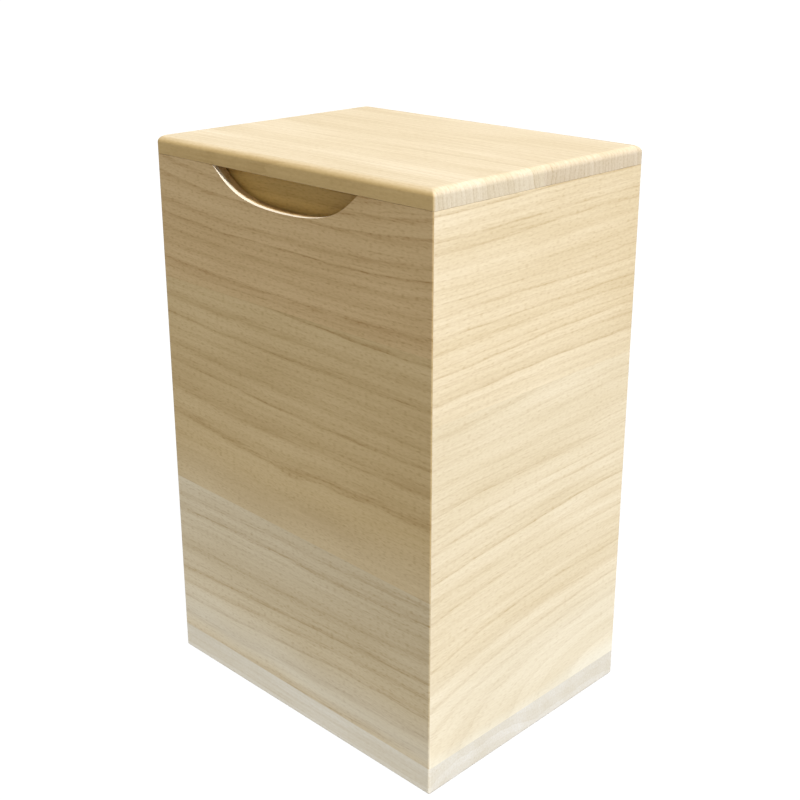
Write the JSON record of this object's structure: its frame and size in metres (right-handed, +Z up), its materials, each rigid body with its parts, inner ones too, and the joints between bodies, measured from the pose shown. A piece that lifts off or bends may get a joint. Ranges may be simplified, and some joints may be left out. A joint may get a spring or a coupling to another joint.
{
  "type": "rice storage box",
  "caption": "Tall rectangular rice box of pale bare wooden boards with a loose, round-edged lid on an inner rim and a finger notch in the front wall.",
  "frame": {"origin": "middle of the underside of the base, on the surface the box stands on", "axes": "+Z up, -Y out of the front wall with the finger notch, +X to the right as seen from the front"},
  "size_m": [0.25, 0.192, 0.383],
  "materials": {
    "wall_wood": "bare planed paulownia, matt",
    "base_wood": "bare planed paulownia, pale, matt",
    "lid_wood": "bare planed paulownia, rounded edges, matt",
    "rim_wood": "bare sawn paulownia, matt",
    "peg_wood": "bare wooden peg, matt"
  },
  "bodies": {
    "body": {"base_front_board": "base_wood", "base_back_board": "base_wood", "front_bottom_board": "wall_wood", "front_middle_board": "wall_wood", "front_top_board": "wall_wood", "right_bottom_board": "wall_wood", "right_top_board": "wall_wood", "back_bottom_board": "wall_wood", "back_middle_board": "wall_wood", "back_top_board": "wall_wood", "left_bottom_board": "wall_wood", "left_top_board": "wall_wood", "base_peg_front_1": "peg_wood", "base_peg_front_2": "peg_wood", "base_peg_front_3": "peg_wood", "base_peg_right_1": "peg_wood", "base_peg_right_2": "peg_wood", "base_peg_back_1": "peg_wood", "base_peg_back_2": "peg_wood", "base_peg_back_3": "peg_wood", "base_peg_left_1": "peg_wood", "base_peg_left_2": "peg_wood"},
    "lid": {"lid_front_board": "lid_wood", "lid_middle_board": "lid_wood", "lid_back_board": "lid_wood", "rim_front_batten": "rim_wood", "rim_right_batten": "rim_wood", "rim_back_batten": "rim_wood", "rim_left_batten": "rim_wood", "rim_peg_front_1": "peg_wood", "rim_peg_front_2": "peg_wood", "rim_peg_right_1": "peg_wood", "rim_peg_right_2": "peg_wood", "rim_peg_back_1": "peg_wood", "rim_peg_back_2": "peg_wood", "rim_peg_left_1": "peg_wood", "rim_peg_left_2": "peg_wood"}
  },
  "joints": [
    {"name": "lid_lift", "type": "slide", "parent": "body", "child": "lid", "axis": [0, 0, 1], "range_m": [0, 0.15]}
  ]
}
